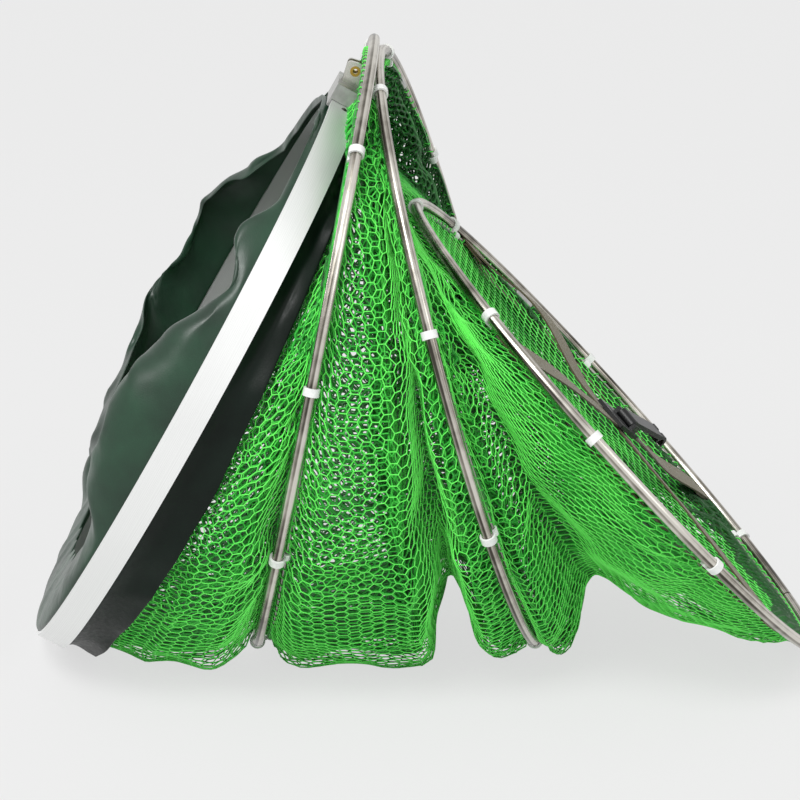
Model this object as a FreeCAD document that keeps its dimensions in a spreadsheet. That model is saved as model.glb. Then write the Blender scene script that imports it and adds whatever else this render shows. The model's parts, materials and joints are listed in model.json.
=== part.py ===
import FreeCAD, Part
import Sketcher
import math
import os

from FreeCAD import Placement, Rotation, Vector

# A round collapsible keep net standing open like a fan. Millimetres, +Z up, +X from the mouth to
# the closed end, origin on the floor under the middle of the object.

SIZES = {
    "origin_shift": -17.1,
    # Mouth hoop: a flat aluminium strip rolled on edge, leaning back over the net.
    "hoop_radius": 201.5,
    "band_width": 19.0,
    "band_wall": 2.5,
    "hoop_gap_angle": 11.0,
    "hoop_foot": -239.0,
    "hoop_lean": 29.3,
    # Three hoops of steel tube. The radius is that of the tube's centre line.
    "tube_radius": 3.5,
    "tube_bore": 2.5,
    "tube_gap_angle": 0.4,
    "front_radius": 198.0,
    "front_foot": -93.8,
    "front_lean": 11.3,
    "front_yaw": 0.0,
    "back_radius": 197.5,
    "back_foot": 93.5,
    "back_lean": -15.6,
    "back_yaw": 2.7,
    "last_radius": 191.7,
    "last_foot": 269.2,
    "last_lean": -42.5,
    "last_yaw": -3.15,
    "spigot_angle": 9.0,
    # Thin wire rings that the netting is threaded on, each hung inside its tube by plastic clips.
    "wire_radius": 1.3,
    "wire_inset": 6.0,
    "wire_drop": 1.5,
    "wire_offset": 2.3,
    "front_wire_swing": 5.75,
    "back_wire_swing": 3.0,
    "last_wire_inset": 7.4,
    "last_wire_offset": -3.0,
    "ferrule_radius": 2.3,
    "ferrule_angle": 5.5,
    "clip_width": 5.0,
    "clip_wall": 1.3,
    "clip_play": 0.15,
    # Head block that joins the ends of the band, with two ears for a bank stick's eye.
    "head_depth": 22.0,
    "head_width": 54.0,
    "head_rise": 9.0,
    "head_sink": 6.5,
    "slot_play": 0.25,
    "ear_depth": 12.5,
    "ear_height": 15.0,
    "ear_wall": 4.0,
    "ear_gap": 9.0,
    "ear_tilt": 12.0,
    "bush_radius": 2.6,
    "bush_bore": 1.65,
    "rivet_head": 2.8,
    # Leathercloth collar and skirt, and the netting.
    "cloth_wall": 1.2,
    "collar_width": 46.0,
    "head_tuck": 5.2,
    "net_wall": 1.0,
    "base_sag": 22.0,
    "base_wall": 1.0,
    # Webbing and the plastic hook that holds it to the last hoop.
    "strap_width": 20.0,
    "strap_wall": 1.1,
    "strap_lift": 1.4,
    "strap_level": 12.0,
    "strap_rest": 28.0,
    "hook_reach": 60.0,
    "hook_rise": 6.5,
    "buckle_length": 30.0,
    "buckle_width": 26.0,
    "buckle_height": 7.0,
    "hook_width": 13.0,
    "hook_wall": 3.4,
    "hook_pin_radius": 1.5,
    "hook_play": 0.3,
}

HOOPS = ("front", "back", "last")
CLIP_ANGLES = {
    "front": (-139, -95, -61, -20, 25, 70, 115, 160),
    "back": (-158, -106, -67, -22, 22, 70, 121, 166),
    "last": (-136, -106, -73, -27, 36, 88, 139, 176),
}
SEAM_ANGLES = {"front": 48.0, "back": 45.0, "last": 14.0}
FERRULE_ANGLES = {"front": -118.0, "back": 150.0, "last": 110.0}
NEAR_REACH = ((0, 2), (30, 2), (60, 1), (80, 27), (93, 35), (106, 29), (121, 3), (131, 22), (151, 2), (180, 1))
FAR_REACH = ((0, 2), (33, 4), (44, 15), (59, 23), (77, 26), (84, 34), (97, 23), (110, 33), (128, 22), (150, 2),
             (180, 1))
# Angles where each strap is looped round the last wire ring, from its start to its end.
CROSS_STRAP, HOOK_STRAP = (132.0, -48.0), (-130.0, 50.0)
CURVE_POINTS = 60
FLOOR_PLAY = 0.3

doc = FreeCAD.newDocument("KeepNet")
sheet = doc.addObject("Spreadsheet::Sheet", "Sizes")
parts = []


def fill_sheet():
    for row, (alias, value) in enumerate(SIZES.items(), start=1):
        sheet.set("A%d" % row, alias)
        sheet.set("B%d" % row, str(value))
        sheet.setAlias("B%d" % row, alias)
    doc.recompute()


def size(alias):
    return float(sheet.get(alias))


# Frames. In a hoop's own frame X points down to its foot, Y across to the far side and Z along the
# hoop's axis, towards the closed end of the net. Angles are counted from the foot towards +Y.


def hoop_axes(lean, yaw):
    turn = Rotation(Vector(0, 0, 1), -yaw).multiply(Rotation(Vector(0, 1, 0), 90 + lean))
    return turn


def mouth_placement():
    turn = hoop_axes(size("hoop_lean"), 0)
    up = turn.multVec(Vector(-1, 0, 0))
    rear_drop = size("band_width") * math.sin(math.radians(size("hoop_lean")))
    foot = Vector(size("hoop_foot") + size("origin_shift"), 0, rear_drop)
    return Placement(foot + up * size("hoop_radius"), turn)


def hoop_placement(name):
    turn = hoop_axes(size(name + "_lean"), size(name + "_yaw"))
    up = turn.multVec(Vector(-1, 0, 0))
    foot = Vector(size(name + "_foot") + size("origin_shift"), 0, size("tube_radius"))
    return Placement(foot + up * size(name + "_radius"), turn)


def polar(radius, angle, along=0.0):
    turn = math.radians(angle)
    return Vector(radius * math.cos(turn), radius * math.sin(turn), along)


def turned(placement, angle):
    return placement.multiply(Placement(Vector(0, 0, 0), Rotation(Vector(0, 0, 1), angle)))


# Helpers for the two kinds of sub-part.


def new_body(label, placement):
    body = doc.addObject("PartDesign::Body", label)
    body.Label = label
    body.Placement = placement
    parts.append(body)
    return body


def new_sketch(body, name, role):
    sketch = body.newObject("Sketcher::SketchObject", name)
    plane = [f for f in body.Origin.OriginFeatures if f.Role == role][0]
    sketch.AttachmentSupport = [(plane, "")]
    sketch.MapMode = "FlatFace"
    return sketch


def new_feature(label, shape, placement):
    feature = doc.addObject("Part::Feature", label)
    feature.Label = label
    feature.Shape = shape
    feature.Placement = placement
    parts.append(feature)
    return feature


def bind(sketch, index, name, expression):
    sketch.renameConstraint(index, name)
    sketch.setExpression("Constraints." + name, expression)


def add_circle(sketch, name, centre, radius, centre_text, radius_text):
    circle = Part.Circle(Vector(centre, 0, 0), Vector(0, 0, 1), radius)
    edge = sketch.addGeometry(circle, False)
    across = sketch.addConstraint(Sketcher.Constraint("DistanceX", -1, 1, edge, 3, centre))
    bind(sketch, across, name + "_centre", centre_text)
    sketch.addConstraint(Sketcher.Constraint("PointOnObject", edge, 3, -1))
    round_one = sketch.addConstraint(Sketcher.Constraint("Radius", edge, radius))
    bind(sketch, round_one, name + "_radius", radius_text)


def add_rectangle(sketch, name, low, high, texts):
    corners = [(low[0], low[1]), (high[0], low[1]), (high[0], high[1]), (low[0], high[1])]
    edges = []
    for start, end in zip(corners, corners[1:] + corners[:1]):
        line = Part.LineSegment(Vector(start[0], start[1], 0), Vector(end[0], end[1], 0))
        edges.append(sketch.addGeometry(line, False))
    for this, after in zip(edges, edges[1:] + edges[:1]):
        sketch.addConstraint(Sketcher.Constraint("Coincident", this, 2, after, 1))
    for edge, kind in zip(edges, ("Horizontal", "Vertical", "Horizontal", "Vertical")):
        sketch.addConstraint(Sketcher.Constraint(kind, edge))
    places = (("DistanceX", edges[0], low[0]), ("DistanceY", edges[0], low[1]),
              ("DistanceX", edges[2], high[0]), ("DistanceY", edges[2], high[1]))
    for side, (kind, edge, value), text in zip(("left", "base", "right", "top"), places, texts):
        index = sketch.addConstraint(Sketcher.Constraint(kind, -1, 1, edge, 1, value))
        bind(sketch, index, name + "_" + side, text)


def revolve(body, sketch, name, angle_text):
    feature = body.newObject("PartDesign::Revolution", name)
    feature.Profile = sketch
    feature.ReferenceAxis = (sketch, ["V_Axis"])
    feature.Midplane = True
    feature.setExpression("Angle", angle_text)
    doc.recompute()
    return feature


def pad_or_cut(body, sketch, kind, name, length_text):
    feature = body.newObject("PartDesign::" + kind, name)
    feature.Profile = sketch
    feature.Midplane = True
    feature.setExpression("Length", length_text)
    doc.recompute()
    return feature


# The mouth hoop and its head.


def make_mouth_band():
    body = new_body("mouth_band", mouth_placement())
    sketch = new_sketch(body, "band_section", "XZ_Plane")
    outer, inner = size("hoop_radius"), size("hoop_radius") - size("band_wall")
    add_rectangle(sketch, "band", (inner, 0), (outer, size("band_width")),
                  ("Sizes.hoop_radius - Sizes.band_wall", "0", "Sizes.hoop_radius", "Sizes.band_width"))
    revolve(body, sketch, "band_hoop", "360 - Sizes.hoop_gap_angle")


def make_head_block():
    body = new_body("head_block", mouth_placement())
    radius, rise, sink = size("hoop_radius"), size("head_rise"), size("head_sink")
    low = -(size("head_depth") - size("band_width")) / 2
    section = new_sketch(body, "head_section", "XZ_Plane")
    add_rectangle(section, "head", (-radius - rise, low), (-radius + sink, low + size("head_depth")),
                  ("-Sizes.hoop_radius - Sizes.head_rise", "(Sizes.band_width - Sizes.head_depth) / 2",
                   "-Sizes.hoop_radius + Sizes.head_sink", "(Sizes.band_width + Sizes.head_depth) / 2"))
    pad_or_cut(body, section, "Pad", "head_block_pad", "Sizes.head_width")
    slot = new_sketch(body, "slot_section", "XZ_Plane")
    inner, outer = radius - size("band_wall") - size("slot_play"), radius + size("slot_play")
    play = size("slot_play")
    add_rectangle(slot, "slot", (inner, -play), (outer, size("band_width") + play),
                  ("Sizes.hoop_radius - Sizes.band_wall - Sizes.slot_play", "-Sizes.slot_play",
                   "Sizes.hoop_radius + Sizes.slot_play", "Sizes.band_width + Sizes.slot_play"))
    before = body.Shape.Volume
    groove = body.newObject("PartDesign::Groove", "band_slots")
    groove.Profile = slot
    groove.ReferenceAxis = (slot, ["V_Axis"])
    groove.Midplane = True
    groove.setExpression("Angle", "360 - Sizes.hoop_gap_angle")
    doc.recompute()
    if body.Shape.Volume >= before:
        raise RuntimeError("the band slots cut nothing")


def ear_frame():
    """The ears' own frame: X up from the block, Y across, Z towards the closed end."""
    turn = Rotation(Vector(0, 1, 0), 180).multiply(Rotation(Vector(0, 1, 0), -size("ear_tilt")))
    root = Vector(-size("hoop_radius") - size("head_rise"), 0, size("ear_depth") / 2 + 1.0)
    return Placement(root, turn)


def make_ears():
    """Two upright ears on the block, rounded at the top, with a cross hole for brass bushes."""
    depth, height, wall = size("ear_depth"), size("ear_height"), size("ear_wall")
    sunk = 2.5
    hole_height = height - 5.5
    halves = []
    for side in (-1, 1):
        start = side * size("ear_gap") / 2 - (wall if side < 0 else 0)
        plate = Part.makeBox(height + sunk, wall, depth, Vector(-sunk, start, -depth / 2))
        tops = [e for e in plate.Edges
                if abs(e.CenterOfMass.x - height) < 0.01 and abs(abs(e.CenterOfMass.z) - depth / 2) < 0.01]
        plate = plate.makeFillet(2.5, tops)
        hole = Part.makeCylinder(size("bush_radius"), wall + 2, Vector(hole_height, start - 1, 0),
                                 Vector(0, 1, 0))
        halves.append(plate.cut(hole))
    block_top = Part.makeBox(size("head_rise") + size("head_sink"), size("head_width"), size("head_depth"),
                             Vector(-size("hoop_radius") - size("head_rise"), -size("head_width") / 2,
                                    (size("band_width") - size("head_depth")) / 2))
    placed = []
    for half in halves:
        half.Placement = ear_frame().multiply(half.Placement)
        placed.append(half.cut(block_top))
    new_feature("head_ears", Part.Compound(placed), mouth_placement())
    bushes = []
    for side in (-1, 1):
        start = side * size("ear_gap") / 2 - (wall if side < 0 else 0)
        tube = Part.makeCylinder(size("bush_radius"), wall, Vector(hole_height, start, 0), Vector(0, 1, 0))
        lip = Part.makeCylinder(size("bush_radius") + 0.7, 0.5,
                                Vector(hole_height, start - 0.5 if side < 0 else start + wall, 0),
                                Vector(0, 1, 0))
        bore = Part.makeCylinder(size("bush_bore"), wall + 4, Vector(hole_height, start - 2, 0),
                                 Vector(0, 1, 0))
        bush = tube.fuse(lip).cut(bore)
        bush.Placement = ear_frame().multiply(bush.Placement)
        bushes.append(bush)
    new_feature("ear_bushes", Part.Compound(bushes), mouth_placement())


def make_band_rivets():
    """Rivets through the band: two by each end in the head block and two beside the foot."""
    radius, wall = size("hoop_radius"), size("band_wall")
    heads = []
    for angle in (170.5, 189.5, -14.0, 14.0):
        at = polar(1, angle)
        across = at * -1
        height = size("band_width") / 2
        start = at * (radius + 0.02) + Vector(0, 0, height)
        heads.append(Part.makeSphere(size("rivet_head"), start - at * 1.9, at).common(
            Part.makeCylinder(size("rivet_head"), 3, start, at)))
    new_feature("band_rivets", Part.Compound(heads), mouth_placement())


# Hoops of tube, their joints, wire rings and clips.


def make_tube(name):
    body = new_body(name + "_hoop_tube", turned(hoop_placement(name), SEAM_ANGLES[name] + 180))
    sketch = new_sketch(body, name + "_tube_section", "XZ_Plane")
    radius = name + "_radius"
    add_circle(sketch, "outside", size(radius), size("tube_radius"), "Sizes." + radius, "Sizes.tube_radius")
    add_circle(sketch, "inside", size(radius), size("tube_bore"), "Sizes." + radius, "Sizes.tube_bore")
    revolve(body, sketch, name + "_tube", "360 - Sizes.tube_gap_angle")


def make_spigot(name):
    body = new_body(name + "_hoop_spigot", turned(hoop_placement(name), SEAM_ANGLES[name]))
    sketch = new_sketch(body, name + "_spigot_section", "XZ_Plane")
    radius = name + "_radius"
    add_circle(sketch, "spigot", size(radius), size("tube_bore") - 0.05, "Sizes." + radius,
               "Sizes.tube_bore - 0.05")
    revolve(body, sketch, name + "_spigot", "Sizes.spigot_angle")


def wire_placement(name):
    """The wire ring's own frame, set inside the tube's and swung back at the foot."""
    if name == "last":
        inner = Placement(Vector(0, 0, size("last_wire_offset")), Rotation())
    else:
        swing = math.degrees(math.asin(size(name + "_wire_swing") / wire_ring_radius(name)))
        inner = Placement(Vector(size("wire_drop"), 0, size("wire_offset")),
                          Rotation(Vector(0, 1, 0), -swing))
    return hoop_placement(name).multiply(inner)


def wire_ring_radius(name):
    inset = size("last_wire_inset") if name == "last" else size("wire_inset")
    return size(name + "_radius") - inset


def make_wire(name):
    angle = FERRULE_ANGLES[name]
    wire = doc.addObject("Part::Torus", name + "_wire_ring")
    wire.Label = name + "_wire_ring"
    inset = "Sizes.last_wire_inset" if name == "last" else "Sizes.wire_inset"
    wire.setExpression("Radius1", "Sizes.%s_radius - %s" % (name, inset))
    wire.setExpression("Radius2", "Sizes.wire_radius")
    wire.Angle3 = 359.6
    wire.Placement = turned(wire_placement(name), angle + 0.2)
    parts.append(wire)
    radius = wire_ring_radius(name)
    width = size("ferrule_angle")
    sleeve = Part.makeTorus(radius, size("ferrule_radius"), Vector(0, 0, 0), Vector(0, 0, 1), 0, 360, width)
    bore = Part.makeTorus(radius, size("wire_radius") + 0.03, Vector(0, 0, 0), Vector(0, 0, 1), 0, 360, 360)
    new_feature(name + "_wire_ferrule", sleeve.cut(bore), turned(wire_placement(name), angle - width / 2))


def in_hoop_frame(name, point):
    world = wire_placement(name).multVec(point)
    return hoop_placement(name).inverse().multVec(world)


def clip_shape(name, angle):
    """One figure-of-eight clip: a large loop round the tube and a small one round the wire."""
    near_wire = in_hoop_frame(name, polar(wire_ring_radius(name), angle))
    angle = math.degrees(math.atan2(near_wire.y, near_wire.x))
    wire_at = Vector(math.hypot(near_wire.x, near_wire.y), 0, near_wire.z)
    tube_at = Vector(size(name + "_radius"), 0, 0)
    play, wall, width = size("clip_play"), size("clip_wall"), size("clip_width")
    half = Vector(0, width / 2, 0)
    along = Vector(0, 1, 0)

    def rod(at, radius, length=width):
        return Part.makeCylinder(radius, length, at - Vector(0, length / 2, 0), along)

    span = wire_at - tube_at
    web = Part.makeBox(span.Length, width, 2 * wall)
    slope = Rotation(Vector(1, 0, 0), span)
    web.Placement = Placement(tube_at - half - slope.multVec(Vector(0, 0, wall)), slope)
    solid = rod(tube_at, size("tube_radius") + play + wall)
    solid = solid.fuse([rod(wire_at, size("wire_radius") + play + wall), web])
    solid = solid.cut([rod(tube_at, size("tube_radius") + play, width + 2),
                       rod(wire_at, size("wire_radius") + play, width + 2)])
    solid.Placement = Placement(Vector(0, 0, 0), Rotation(Vector(0, 0, 1), angle)).multiply(solid.Placement)
    return solid.Solids[0]


def make_clips(name):
    clips = [clip_shape(name, angle) for angle in CLIP_ANGLES[name]]
    new_feature(name + "_hoop_clips", Part.Compound(clips), hoop_placement(name))


# Cloth and netting: thin shells through closed curves that run round the object.


def soft_floor(height, lowest):
    """A height kept above the floor, with a rounded turn where the cloth starts to lie on it."""
    rise = height - lowest
    return lowest + (rise + math.sqrt(rise * rise + 9.0)) / 2


def closed_curve(points):
    curve = Part.BSplineCurve()
    knots = [i / float(len(points)) for i in range(len(points) + 1)]
    curve.interpolate(Points=points, Parameters=knots, PeriodicFlag=True)
    return curve.toShape()


def inset(rows, depth):
    """The same rows of points moved in by depth, square to the cloth that runs through them."""
    moved = []
    for i, row in enumerate(rows):
        before, after = rows[max(i - 1, 0)], rows[min(i + 1, len(rows) - 1)]
        points = []
        for j, point in enumerate(row):
            round_way = row[(j + 1) % len(row)] - row[j - 1]
            normal = round_way.cross(after[j] - before[j])
            points.append(point - normal * (depth / normal.Length))
        moved.append(points)
    return moved


def shell_solid(outer, wall):
    """A closed solid whose wall runs through rows of points, each row a closed curve."""
    loops = [closed_curve(points) for points in outer + inset(outer, wall)[::-1]]
    loops.append(loops[0])
    faces = [Part.makeRuledSurface(a, b) for a, b in zip(loops, loops[1:])]
    skin = Part.Compound(faces)
    skin.sewShape()
    solid = Part.Solid(skin.Shells[0])
    if solid.Volume < 0:
        solid.complement()
    if solid.Volume < 0:
        raise RuntimeError("a shell is inside out")
    return solid


def ring_points(foot, top, yaw, spread=1.0):
    """Points round a loop whose lowest and highest points are foot and top (x and z)."""
    shift = size("origin_shift")
    sideways = (foot[0] - top[0]) * math.tan(math.radians(yaw))
    centre = Vector((foot[0] + top[0]) / 2 + shift, sideways / 2, (foot[1] + top[1]) / 2)
    down = Vector(foot[0] - top[0], -sideways, foot[1] - top[1])
    radius = down.Length / 2
    down.normalize()
    across = Vector(math.sin(math.radians(yaw)), math.cos(math.radians(yaw)), 0) * spread
    points = []
    for i in range(CURVE_POINTS):
        turn = 2 * math.pi * i / CURVE_POINTS
        at = centre + down * (radius * math.cos(turn)) + across * (radius * math.sin(turn))
        points.append(Vector(at.x, at.y, soft_floor(at.z, FLOOR_PLAY)))
    return points


def wire_end(name, along, inset):
    """Foot and top of the circle where a net is threaded, beside the wire ring."""
    radius = wire_ring_radius(name) - inset
    shift = Vector(size("origin_shift"), 0, 0)
    foot = wire_placement(name).multVec(Vector(radius, 0, along)) - shift
    top = wire_placement(name).multVec(Vector(-radius, 0, along)) - shift
    return (foot.x, foot.z), (top.x, top.z)


def net_solid(stations):
    """stations: (foot, top, yaw) of the circles that the netting passes, laid on the floor."""
    return shell_solid([ring_points(*station) for station in stations], size("net_wall"))


def make_nets():
    back_yaw, last_yaw = size("back_yaw"), size("last_yaw")
    beside, inside = 3.2, 3.2
    foot = wire_end("front", -beside, inside)[0]
    over_tube = wire_end("front", -9.0, inside)[0]
    front = [((-186, 4), (-17, 335), 0), ((-166, -13), (-16.5, 346), 0), ((-130, -16), (-17.2, 356), 0),
             ((-113, -4), (-17.6, 363.5), 0), (over_tube, (-18.2, 369), 0, 0.985), (foot, (-18.8, 374.5), 0)]
    new_feature("front_net", net_solid(front), Placement())
    foot, top = wire_end("front", beside, inside)
    last_foot, last_top = wire_end("back", -beside, inside)
    middle = [(foot, top, 0), ((-72, -12), (-16.6, 380), 0), ((-40, -16), (-16.2, 379), 0),
              ((0, -15), (-16, 378), 0), ((22, -8), (-15.9, 377), 0), ((32, 46), (-15.8, 376), 0),
              ((46, 34), (-15.8, 375.5), 0.8), ((64, -6), (-15.9, 375), 1.6), (last_foot, last_top, back_yaw)]
    new_feature("middle_net", net_solid(middle), Placement())
    foot, top = wire_end("back", beside + 1.4, inside + 1.2)
    last_foot, last_top = wire_end("last", -beside, inside)
    end = [(foot, top, back_yaw), ((108, -8), (-9, 363), back_yaw, 0.915), ((118, 10), (-9.5, 345), 1.8),
           ((130, 48), (-10, 328), 1.0), ((165, 29), (-9, 312), -0.5), ((205, 14), (-5, 296), -1.8),
           ((235, 8), (2, 284), -2.6), (last_foot, last_top, last_yaw)]
    new_feature("end_net", net_solid(end), Placement())


def mouth_ring(radius, along_of, squeeze_of):
    """Points round the mouth in world terms, with a reach along the axis for each angle."""
    place = mouth_placement()
    points = []
    for i in range(CURVE_POINTS):
        angle = 360.0 * i / CURVE_POINTS
        at = place.multVec(polar(radius - squeeze_of(angle), angle, along_of(angle)))
        points.append(Vector(at.x, at.y, soft_floor(at.z, FLOOR_PLAY)))
    return points


def cloth_radius():
    return size("hoop_radius") - size("band_wall") - 0.3


def head_tuck(angle):
    """How far the cloth dips under the head block, which spans a few degrees at the top."""
    off_top = abs(abs((angle + 180) % 360 - 180) - 180)
    share = min(max((30.0 - off_top) / 18.0, 0.0), 1.0)
    return size("head_tuck") * share * share * (3 - 2 * share)


def between(table, angle):
    """The value at an angle in a table of (angle, value), eased from one entry to the next."""
    for (low, first), (high, last) in zip(table, table[1:]):
        if low <= angle <= high:
            share = (angle - low) / (high - low)
            return first + (last - first) * share * share * (3 - 2 * share)
    return table[-1][1]


def collar_reach(angle):
    """How far the collar's free edge stands forward of the band; the rest of its width folds inwards."""
    side = (angle + 180) % 360 - 180
    return between(NEAR_REACH if side < 0 else FAR_REACH, abs(side))


def make_collar():
    """Leathercloth from inside the band, flared forward of it in soft folds."""
    outer = []
    for start, out_share, in_share in ((5.0, 0.0, 0.0), (-0.6, 0.0, 0.0), (-1.5, 0.35, 0.12),
                                       (-2.0, 0.75, 0.45), (-2.0, 1.0, 1.0)):
        def along_of(angle):
            return start - out_share * collar_reach(angle)

        def squeeze_of(angle):
            reach, width = collar_reach(angle), size("collar_width")
            fold = 0.75 * math.sqrt(width * width - reach * reach)
            off_top = min(abs(abs((angle + 180) % 360 - 180) - 180) / 40.0, 1.0)
            return head_tuck(angle) + in_share * fold * (0.25 + 0.75 * off_top)

        outer.append(mouth_ring(cloth_radius(), along_of, squeeze_of))
    new_feature("front_collar", shell_solid(outer[::-1], size("cloth_wall")), Placement())


def make_skirt():
    """Leathercloth from inside the band's rear edge, falling back to a hem over the first net."""
    width = size("band_width")
    outer = [mouth_ring(cloth_radius(), lambda angle: along, head_tuck) for along in (width - 6.0, width + 0.5)]
    outer += [ring_points((-206, 2), (-25, 340), 0), ring_points((-187, -5), (-20.5, 338), 0)]
    new_feature("rear_skirt", shell_solid(outer, size("cloth_wall")), Placement())


# The closed end: base netting, webbing and hook, in the last hoop's frame.


def dish(rise, wall, radius):
    """A shallow dish of the given wall, sagging into the net, lifted by rise above the base netting."""
    sag = size("base_sag")
    ball = (radius * radius + sag * sag) / (2 * sag)
    centre = Vector(0, 0, ball - sag + size("last_wire_offset") + rise)
    outside = Part.makeSphere(ball, centre)
    inside = Part.makeSphere(ball - wall, centre)
    cap = outside.cut(inside)
    return cap.common(Part.makeCylinder(radius, sag + 60, Vector(0, 0, -sag - 30)))


def make_base_net():
    """The closed end, as one shallow dish just inside the last wire ring."""
    radius = wire_ring_radius("last") - 3.0
    cap = dish(0.0, size("base_wall"), radius)
    low = [s for s in cap.Solids if s.BoundBox.ZMin < 0][0]
    new_feature("base_net", low, hoop_placement("last"))


def strap_shape(start, end, lift):
    """Webbing pulled across the closed end, with a loop round the wire ring at both ends."""
    wall, width, drop = size("strap_wall"), size("strap_width"), size("last_wire_offset")
    radius = wire_ring_radius("last")
    bore = size("wire_radius") + 0.35
    a, b = polar(radius, start), polar(radius, end)
    run = (b - a).Length
    low = drop + bore
    line = [(0, low), (size("strap_level"), low), (run / 2 - size("strap_rest"), low + lift)]
    line += [(run - x, z) for x, z in line[::-1]]
    corners = [Vector(x, 0, z) for x, z in line] + [Vector(x, 0, z + wall) for x, z in line[::-1]]
    flat = Part.Face(Part.makePolygon(corners + corners[:1])).extrude(Vector(0, width, 0))
    sleeves = [Part.makeCylinder(bore + wall, width, Vector(x, 0, drop), Vector(0, 1, 0)) for x in (0, run)]
    bores = [Part.makeCylinder(bore, width + 2, Vector(x, -1, drop), Vector(0, 1, 0)) for x in (0, run)]
    webbing = flat.fuse(sleeves).cut(bores).Solids[0]
    webbing.Placement = Placement(a, Rotation(Vector(1, 0, 0), b - a)).multiply(
        Placement(Vector(0, -width / 2, 0), Rotation()))
    return webbing


def make_straps():
    place = hoop_placement("last")
    new_feature("cross_strap", Part.Compound([strap_shape(*CROSS_STRAP, 0.0)]), place)
    new_feature("hook_strap", Part.Compound([strap_shape(*HOOK_STRAP, size("strap_lift"))]), place)


def buckle_frame():
    """The buckle's own frame, over the middle of the hook's strap: X along the strap to the hook's tip."""
    top = size("last_wire_offset") + size("wire_radius") + 0.35 + size("strap_lift") + size("strap_wall")
    along = polar(1, HOOK_STRAP[1]) - polar(1, HOOK_STRAP[0])
    start = polar(wire_ring_radius("last"), HOOK_STRAP[0])
    end = polar(wire_ring_radius("last"), HOOK_STRAP[1])
    middle = (start + end) / 2
    return hoop_placement("last").multiply(
        Placement(Vector(middle.x, middle.y, top + 0.25), Rotation(Vector(1, 0, 0), along)))


def make_buckle():
    frame = buckle_frame()
    length, width, height = size("buckle_length"), size("buckle_width"), size("buckle_height")
    plate = Part.makeBox(length, width, 2.6, Vector(-length / 2, -width / 2, 0))
    plate = plate.makeFillet(1.0, [e for e in plate.Edges if abs(e.tangentAt(e.FirstParameter).z) > 0.9])
    slots = [Part.makeBox(3.2, width - 6, 4, Vector(x, 3 - width / 2, -0.5)) for x in (-10.5, -4.5)]
    mouth = size("hook_width") + 2 * size("hook_play")
    slots.append(Part.makeBox(20, mouth, 12, Vector(length / 2 - 9.6, -mouth / 2, -1)))
    ears = [Part.makeBox(7, 3, height, Vector(length / 2 - 8.5, y, 0))
            for y in (-size("hook_width") / 2 - 3.3, size("hook_width") / 2 + 0.3)]
    pin_at = Vector(length / 2 - 5, 0, 5.0)
    pin_radius = size("hook_pin_radius")
    body = plate.fuse(ears).cut(slots)
    body = body.cut(Part.makeCylinder(pin_radius, width, pin_at - Vector(0, width / 2, 0), Vector(0, 1, 0)))
    new_feature("strap_buckle", body.Solids[0], frame)
    pin_length = size("hook_width") + 6.6
    pin = Part.makeCylinder(pin_radius, pin_length, pin_at - Vector(0, pin_length / 2, 0), Vector(0, 1, 0))
    new_feature("hook_pin", pin, frame)
    make_hook(frame, pin_at)


def make_hook(frame, pin_at):
    """A flat arm from the pin to two prongs that cup a hoop's tube from outside."""
    tube = Vector(size("hook_reach"), 0, size("hook_rise"))
    width, wall = size("hook_width"), size("hook_wall")
    grip = size("tube_radius") + size("hook_play")
    boss_radius, cup_radius, sunk = 4.0, grip + 2.4, 0.5
    across = Vector(0, 1, 0)
    half = across * (width / 2)
    boss = Part.makeCylinder(boss_radius, width, pin_at - half, across)
    cup = Part.makeCylinder(cup_radius, width, tube - half, across)
    start = pin_at + Vector(0, 0, boss_radius - sunk - wall)
    end = tube + Vector(0, 0, cup_radius - sunk - wall)
    run = end - start
    slope = Rotation(Vector(0, 1, 0), -math.degrees(math.atan2(run.z, run.x)))
    arm = Part.makeBox(run.Length, width, wall)
    arm.Placement = Placement(start - half, slope)
    solid = boss.fuse([cup, arm])
    bore_radius = size("hook_pin_radius") + 0.05
    bore = Part.makeCylinder(bore_radius, width + 2, pin_at - half - across, across)
    below = Part.makeBox(30, width + 2, 30, Vector(tube.x - 15, -width / 2 - 1, tube.z - 31.0))
    notch = Part.makeBox(26, 4.4, 30, Vector(tube.x - 2.5, -2.2, tube.z - 12))
    path = Part.makeCylinder(grip, 60, tube - across * 30, across)
    solid = solid.cut([bore, below, notch, path])
    new_feature("strap_hook", max(solid.Solids, key=lambda s: s.Volume), frame)


def check_and_write():
    doc.recompute()
    for item in doc.Objects:
        if "Invalid" in item.State or "Error" in item.State:
            raise RuntimeError("%s is in state %s" % (item.Label, item.State))
    for item in parts:
        if item.Shape.isNull() or not item.Shape.isValid() or not item.Shape.Solids:
            raise RuntimeError("%s has no valid shape" % item.Label)
    os.makedirs("parts", exist_ok=True)
    for item in parts:
        item.Shape.exportStep("parts/%s.step" % item.Label)
    whole = Part.Compound([item.Shape for item in parts]).BoundBox
    print("box", [round(v, 2) for v in (whole.XMin, whole.XMax, whole.YMin, whole.YMax, whole.ZMin,
                                        whole.ZMax)])


def main():
    fill_sheet()
    make_mouth_band()
    make_head_block()
    make_ears()
    make_band_rivets()
    make_collar()
    make_skirt()
    for name in HOOPS:
        make_tube(name)
        make_spigot(name)
        make_wire(name)
        make_clips(name)
    make_nets()
    make_base_net()
    make_straps()
    make_buckle()
    check_and_write()


main()
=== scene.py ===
import json
import math

import bmesh
import bpy
import numpy as np
from mathutils import Matrix, Vector, noise

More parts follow.
